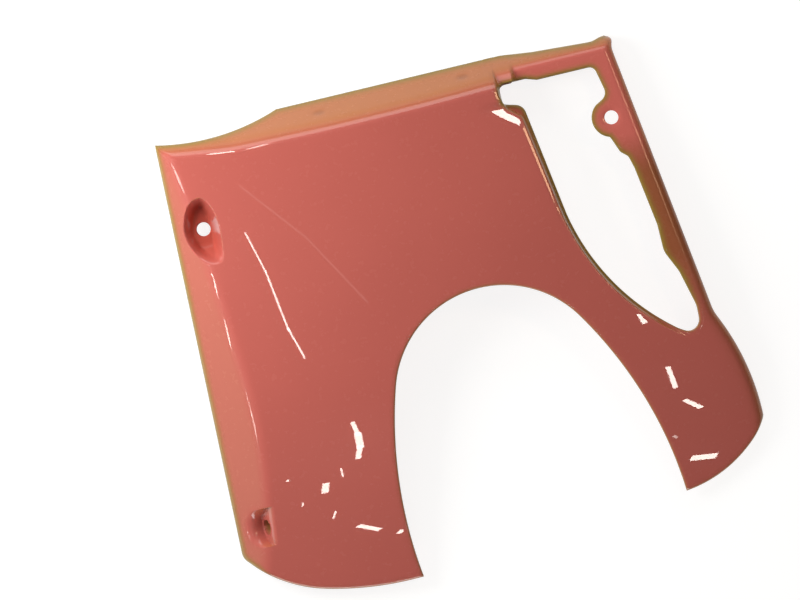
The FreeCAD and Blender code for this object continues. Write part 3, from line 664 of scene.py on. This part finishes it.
x, y = plan.T
on_seat = within(plan, lip_area)
# The olive band along the cut edges is a painted reflection. It is narrower and fainter over the lower panel,
# except at the left flange's edge, and on the seat only at its lower end.
edge_fade = between(y, *EDGE_FADE_ARCH) * between(x, *EDGE_FADE_FLANGE) * np.where(on_seat, between(y, *EDGE_FADE_SEAT), 1)
edge_reflection = np.exp(-((edge_gap / (EDGE_REFLECTION_WIDTH - EDGE_WIDTH_FADED * edge_fade)) ** 2))
edge_reflection = edge_reflection * (1 - EDGE_REFLECTION_FADED * edge_fade)
recessed = recess_share(plan)
# The steep flanges carry painted light: tan as a painted reflection and bounce light of a warm table, and on
# the left flange a lighter tan painted sheen.
tilted = between(out[:, 2], *LEVEL_TO_STEEP) * (1 - recessed) * (recessed < LEAST_RECESSED)
tilted = tilted * (1 - oval(plan, *SCOOP_OVAL))
facing_left = between(out[:, 0], *LEFT_FACING)
bare_seat = on_seat * between(y, *BARE_TOP) * between(y, *BARE_FOOT)
# Painted shade: the brown also darkens a band along the right wall, from the strip's middle down round the
# leg.
wall_shade = WALL_SHADE_MOST * np.exp(-((off_wall / WALL_SHADE_REACH) ** 2)) * (y < WALL_SHADE_TOP)
# Painted light and shade among these shares: the olive edge reflection, the tan flange reflection and sheen,
# the recess shade, the paler upper seat and the band along the right wall.
for name, share in (
    ("edge_reflection_and_back", over_all(edge_reflection, np.where(drilled, 1, BACK_TINT))),
    ("flange_reflection", over_all(tilted * (1 - facing_left), foot_share=WALL_FOOT_TAN)),
    ("left_flange_sheen", over_all(tilted * facing_left)),
    ("recess_shade", over_all(recessed)),
    ("bare_and_wall_shade", over_all(np.max([bare_seat, wall_shade, SINK_DARKENING * sink_marks], axis=0))),
    ("seat_light", over_all(on_seat * between(y, *SEAT_LIGHT_FROM))),
):
    values = panel_mesh.attributes.new(name, "FLOAT", "POINT").data
    values.foreach_set("value", share.astype(np.float32))


class Tint:
    """A value or colour on its way through a finish, so that sums on it are written as sums."""

    def __init__(self, tree, socket=None):
        self.tree = tree
        self.socket = socket

    def node(self, kind, settings, sockets, result=0):
        """A new node of this kind, its settings made first and its sockets then set or linked."""
        made = self.tree.nodes.new(kind)
        for name, value in settings.items():
            setattr(made, name, value)
        for name, value in sockets.items():
            if isinstance(value, Tint):
                self.tree.links.new(value.socket, made.inputs[name])
            else:
                made.inputs[name].default_value = value
        return Tint(self.tree, made.outputs[result])

    def sum(self, operation, first, second):
        """A Math node on two values."""
        return self.node("ShaderNodeMath", {"operation": operation}, {0: first, 1: second})

    def __add__(self, other):
        return self.sum("ADD", self, other)

    def __radd__(self, other):
        return self.sum("ADD", other, self)

    def __sub__(self, other):
        return self.sum("SUBTRACT", self, other)

    def __rsub__(self, other):
        return self.sum("SUBTRACT", other, self)

    def __mul__(self, other):
        return self.sum("MULTIPLY", self, other)

    def __rmul__(self, other):
        return self.sum("MULTIPLY", other, self)

    def feed(self, shader, name):
        """Link to a socket of a node that is there already."""
        self.tree.links.new(self.socket, shader.inputs[name])


# Of these colours the paler pink, both tans, the olive at the edges, the recess red and, along the right
# wall, the brown stand for painted light and shade.
DEEP_PINK, LIGHT_PINK = (0.57, 0.131, 0.105, 1), (0.625, 0.146, 0.117, 1)
MOTTLED_PINK, LIT_SEAT_PINK = (0.55, 0.122, 0.095, 1), (0.75, 0.18, 0.145, 1)
SHEEN_TAN, REFLECTED_TAN = (0.545, 0.2, 0.13, 1), (0.53, 0.19, 0.06, 1)
BARE_AND_SHADE_BROWN, EDGE_OLIVE = (0.335, 0.111, 0.038, 1), (0.31, 0.21, 0.035, 1)
RECESS_SHADE_RED = (0.48, 0.075, 0.045, 1)
WAVE_DEPTH, PEEL_DEPTH = 0.00022, 0.00001

paint = bpy.data.materials.new("pink paint")
paint.use_nodes = True
shader = paint.node_tree.nodes["Principled BSDF"]
bench = Tint(paint.node_tree)
position = bench.node("ShaderNodeTexCoord", {}, {}, "Object")
edge_reflection_and_back, flange_reflection, left_flange_sheen, recess_shade, bare_and_wall_shade, seat_light = (
    bench.node("ShaderNodeAttribute", {"attribute_name": name}, {}, "Fac")
    for name in ("edge_reflection_and_back", "flange_reflection", "left_flange_sheen", "recess_shade", "bare_and_wall_shade", "seat_light")
)


def noise(scale, detail, roughness=0.5):
    """Soft irregular variation over the panel, finer for a greater scale."""
    return bench.node(
        "ShaderNodeTexNoise",
        {"noise_dimensions": "3D"},
        {"Vector": position, "Scale": scale, "Detail": detail, "Roughness": roughness},
        "Fac",
    )


def blended(share, first, second):
    """The first colour, going over to the second by this share."""
    settings = {"data_type": "RGBA", "clamp_factor": True}
    return bench.node("ShaderNodeMix", settings, {0: share, 6: first, 7: second}, 2)


clouds = noise(scale=11, detail=2)
mottle = noise(scale=260, detail=3, roughness=0.65)
colour = blended(clouds * 1.6 - 0.3, DEEP_PINK, LIGHT_PINK)
colour = blended(mottle * 0.4 - 0.1, colour, MOTTLED_PINK)
# Painted light: the upper seat, bar and ear are paler.
colour = blended(seat_light * 0.8, colour, LIT_SEAT_PINK)
# Painted sheen: a lighter tan on the left flange.
colour = blended(left_flange_sheen * 0.9, colour, SHEEN_TAN)
# Painted reflection and bounce light of a warm table: tan on the steep flanges.
colour = blended(flange_reflection * (0.75 + 0.3 * clouds), colour, REFLECTED_TAN)
# Brown where the lower seat is barely painted, and painted shade along the right wall.
colour = blended(bare_and_wall_shade * 0.85, colour, BARE_AND_SHADE_BROWN)
# Painted reflection: olive along the cut edges; the back and the scoop hole's collar are olive too.
colour = blended(edge_reflection_and_back * (0.75 + 0.5 * clouds), colour, EDGE_OLIVE)
# Painted shade: the screw recess darker red.
colour = blended(recess_shade * 0.75, colour, RECESS_SHADE_RED)
colour.feed(shader, "Base Color")
(0.2 + 0.12 * mottle + 0.2 * edge_reflection_and_back + 0.25 * recess_shade).feed(shader, "Roughness")
waves = bench.node(
    "ShaderNodeBump",
    {},
    {"Strength": 1.0, "Distance": WAVE_DEPTH, "Height": noise(scale=28, detail=2)},
)
peel = bench.node(
    "ShaderNodeBump",
    {},
    {"Strength": 0.6, "Distance": PEEL_DEPTH, "Height": noise(scale=420, detail=2), "Normal": waves},
)
peel.feed(shader, "Normal")
coat = 1.0 - 0.8 * flange_reflection - 0.6 * bare_and_wall_shade * (1 - flange_reflection) - 0.5 * seat_light * (1 - flange_reflection) - 0.7 * recess_shade
coat.feed(shader, "Coat Weight")
shader.inputs["Specular IOR Level"].default_value = 0.2
shader.inputs["Coat Roughness"].default_value = 0.012
panel_mesh.materials.append(paint)
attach(panel, "root")
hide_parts("inner_fender_panel")


# The floor: a white studio table top that the panel lies on. It is plain white board, which the camera and
# the gloss see as white but for the panel's shadow.
FLOOR_HALF = 3.0
BOARD_WHITE, BOARD_SHADED = (0.82, 0.82, 0.82, 1), (0.3, 0.3, 0.3, 1)
BOARD_GLOW = 0.84
floor_mesh = bpy.data.meshes.new("floor")
floor_corners = [(u * FLOOR_HALF, v * FLOOR_HALF, 0) for u, v in ((-1, -1), (1, -1), (1, 1), (-1, 1))]
floor_mesh.from_pydata(floor_corners, [], [(0, 1, 2, 3)])
floor = bpy.data.objects.new("floor", floor_mesh)
bpy.context.scene.collection.objects.link(floor)
board = bpy.data.materials.new("white floor")
board.use_nodes = True
board.node_tree.nodes.remove(board.node_tree.nodes["Principled BSDF"])
table = Tint(board.node_tree)
by_camera, in_gloss, through_glass = (
    table.node("ShaderNodeLightPath", {}, {}, ray)
    for ray in ("Is Camera Ray", "Is Glossy Ray", "Is Transmission Ray")
)
plain_board = table.node("ShaderNodeBsdfDiffuse", {}, {"Color": BOARD_WHITE})
shaded_board = table.node("ShaderNodeBsdfDiffuse", {}, {"Color": BOARD_SHADED})
glow = table.node("ShaderNodeEmission", {}, {"Color": (1, 1, 1, 1), "Strength": BOARD_GLOW})
seen_board = table.node("ShaderNodeAddShader", {}, {0: shaded_board, 1: glow})
seen = by_camera + in_gloss + through_glass
surface = table.node("ShaderNodeMixShader", {}, {0: seen, 1: plain_board, 2: seen_board})
surface.feed(board.node_tree.nodes["Material Output"], "Surface")
floor_mesh.materials.append(board)


# The room and its soft boxes: even, slightly warm walls, a key lamp close at the left so that its light
# falls off across the panel, and two white cards in front and at the top. The gloss doesn't mirror the key.
ROOM_WHITE, ROOM_LIGHT = (1, 0.97, 0.93, 1), 0.12
world = bpy.context.scene.world or bpy.data.worlds.new("studio")
bpy.context.scene.world = world
world.use_nodes = True
walls = world.node_tree.nodes["Background"]
walls.inputs["Color"].default_value = ROOM_WHITE
walls.inputs["Strength"].default_value = ROOM_LIGHT


def hang(name, place, aim, along, width, length, radiance, colour=(1, 1, 1)):
    """A flat lamp of this width and length in metres, its length along a direction, facing the aim."""
    lamp_data = bpy.data.lights.new(name, "AREA")
    lamp_data.shape = "RECTANGLE"
    lamp_data.size = width
    lamp_data.size_y = length
    lamp_data.energy = radiance * math.pi * width * length
    lamp_data.color = colour
    backward = (Vector(place) - Vector(aim)).normalized()
    across = Vector(along).cross(backward).normalized()
    turned = Matrix((across, backward.cross(across), backward)).transposed()
    lamp = bpy.data.objects.new(name, lamp_data)
    lamp.matrix_world = Matrix.Translation(place) @ turned.to_4x4()
    bpy.context.scene.collection.objects.link(lamp)
    return lamp


key = hang(
    "key",
    place=(-0.43, 0.23, 0.3),
    aim=(-0.06, 0.0, 0.02),
    along=(0, 1, 0),
    width=0.3,
    length=0.3,
    radiance=8.3,
)
key.visible_glossy = False
hang(
    "front card",
    place=(-0.3, -1.2, 0.25),
    aim=(0, 0, 0.02),
    along=(1, 0, 0),
    width=0.4,
    length=1.0,
    radiance=5.0,
)
hang(
    "top card",
    place=(0.1, 0.9, 0.4),
    aim=(0.05, 0.1, 0.02),
    along=(1, 0, 0),
    width=0.4,
    length=1.0,
    radiance=2.4,
)


# Two windows: a small bright one that the flat at the lip's corner mirrors, and a long warm one that the
# bevel along the lip mirrors. Each hangs two metres off, where the camera's line of sight is thrown by the
# gloss at that place of the panel.
CAMERA_PLACE = np.array([-32.92, 17.20, 4025.0])
LAMP_REACH = 2000.0
WARM_WHITE, WARM_ORANGE = (1, 0.98, 0.9), (1, 0.64, 0.36)
CORNER_GLINT = (53.0, 103.2)
LIP_GLINT_ROW, LIP_GLINT_TOP, LIP_GLINT_FOOT = -1.6, 97, 66


def mirrored(x, y):
    """A spot on the panel, and the place that the camera sees in the gloss there."""
    around = np.array([(x, y), (x + 1.0, y), (x - 1.0, y), (x, y + 1.0), (x, y - 1.0)])
    here, right, left, up, down = skin_height(around)
    facing = np.array([(left - right) / 2, (down - up) / 2, 1.0])
    facing = facing / np.linalg.norm(facing)
    spot = np.array([x, y, here])
    sight = (CAMERA_PLACE - spot) / np.linalg.norm(CAMERA_PLACE - spot)
    return spot, spot + LAMP_REACH * (2 * (sight @ facing) * facing - sight)


corner_spot, corner_window = mirrored(*CORNER_GLINT)
hang(
    "corner window",
    place=corner_window / METRE,
    aim=corner_spot / METRE,
    along=(0, 1, 0),
    width=0.1,
    length=0.1,
    radiance=22,
    colour=WARM_WHITE,
)
bevel_line = beside(lip_line, LIP_GLINT_ROW, closed=False)
(top_spot, top_end), (foot_spot, foot_end) = (
    mirrored(*bevel_line[np.argmin(np.abs(bevel_line[:, 1] - glint_y))])
    for glint_y in (LIP_GLINT_TOP, LIP_GLINT_FOOT)
)
hang(
    "lip window",
    place=(top_end + foot_end) / 2 / METRE,
    aim=(top_spot + foot_spot) / 2 / METRE,
    along=top_end - foot_end,
    width=0.26,
    length=np.linalg.norm(top_end - foot_end) / METRE,
    radiance=12,
    colour=WARM_ORANGE,
)


# Ceiling lamps: small flat lamps two metres up, which the gloss coat mirrors as the glints on the panel.
# Each is given by where its glint begins and ends on the panel, how wide the glint is and how bright.
WIDEST_LAMP, LONGEST_LAMP = 0.14, 0.35
BRIGHT = 22
for name, begin, end, glint_width, radiance in (
    ("streak top", (-110.5, 75.7), (-104.1, 50.8), 0.9, BRIGHT),
    ("streak middle", (-104.2, 51.7), (-99.1, 14.7), 1.0, BRIGHT),
    ("streak foot", (-99.3, 16.6), (-93.8, -2.5), 1.0, BRIGHT),
    ("left near", (-75.8, -44.5), (-74.4, -52.5), 2.6, BRIGHT),
    ("left near bend", (-74.4, -51.3), (-74.7, -60.2), 4.4, BRIGHT),
    ("left near low", (-74.8, -59.0), (-77.6, -66.0), 3.2, BRIGHT),
    ("left speck", (-119.0, -69.2), (-120.6, -68.6), 1.0, BRIGHT),
    ("left tick", (-114.4, -83.3), (-115.2, -85.3), 0.8, BRIGHT),
    ("left fold top", (-133.8, 58.0), (-134.5, 38.6), 0.8, BRIGHT),
    ("left fold middle", (-133.5, 30.7), (-133.9, 10.5), 0.6, BRIGHT),
    ("left fold low", (-130.9, -23.8), (-131.3, -35.4), 0.8, BRIGHT),
    ("left round", (-98.8, -75.2), (-100.7, -80.7), 4.0, BRIGHT),
    ("left sliver", (-88.4, -68.8), (-88.5, -74.1), 1.1, BRIGHT),
    ("left spark", (-97.0, -92.2), (-99.7, -96.3), 1.1, BRIGHT),
    ("left bar", (-86.7, -103.5), (-74.9, -108.7), 2.3, BRIGHT),
    ("left dot", (-65.1, -112.3), (-62.3, -112.9), 2.3, BRIGHT),
    ("right near", (98.4, -22.6), (100.8, -28.8), 2.2, BRIGHT),
    ("right middle", (108.0, -56.0), (109.6, -69.0), 2.9, BRIGHT),
    ("right bent", (113.0, -76.9), (121.5, -83.7), 2.5, BRIGHT),
    ("right bar", (109.0, -110.8), (124.0, -112.7), 2.9, BRIGHT),
    ("right spark", (102.2, -95.6), (103.8, -97.4), 1.6, 8),
    ("top", (-118.0, 123.6), (-112.0, 123.6), 1.6, BRIGHT),
    ("face line upper", (-107.5, 102.8), (-76.8, 64.5), 0.9, 1.1),
    ("face line lower", (-76.8, 64.5), (-51.1, 19.9), 0.9, 1.1),
    ("left fold head", (-143.2, 123.5), (-138.4, 105.8), 1.6, 12),
):
    begin_spot, begin_lamp = mirrored(*begin)
    end_spot, end_lamp = mirrored(*end)
    middle_spot = (begin_spot + end_spot) / 2
    lamp_run = end_lamp - begin_lamp
    lamp_length = np.linalg.norm(lamp_run)
    glint_length = math.hypot(end[0] - begin[0], end[1] - begin[1])
    sideways = np.array([begin[1] - end[1], end[0] - begin[0]]) / glint_length
    _, near_lamp = mirrored(*(middle_spot[:2] - sideways * glint_width / 2))
    _, far_lamp = mirrored(*(middle_spot[:2] + sideways * glint_width / 2))
    lamp_width = np.linalg.norm(np.cross(far_lamp - near_lamp, lamp_run)) / lamp_length
    hang(
        "ceiling lamp " + name,
        place=(begin_lamp + end_lamp) / 2 / METRE,
        aim=middle_spot / METRE,
        along=lamp_run,
        width=min(lamp_width / METRE, WIDEST_LAMP),
        length=min(lamp_length / METRE, LONGEST_LAMP),
        radiance=radiance,
        colour=WARM_WHITE,
    )


# The camera: a long lens straight above, turned as the panel lies in the picture. Four metres off, its frame
# is 0.46 m wide.
SENSOR, FRAME_WIDTH, FRAME_DISTANCE = 36, 0.46, 4.0
CAMERA_TURN = math.radians(-13.479)
camera_data = bpy.data.cameras.new("camera")
camera_data.lens = SENSOR * FRAME_DISTANCE / FRAME_WIDTH
camera_data.sensor_width = SENSOR
camera_data.clip_end = 20
camera = bpy.data.objects.new("camera", camera_data)
camera.location = CAMERA_PLACE / METRE
camera.rotation_euler = (0, 0, CAMERA_TURN)
bpy.context.scene.collection.objects.link(camera)
bpy.context.scene.camera = camera
bpy.context.scene.view_settings.view_transform = "Standard"
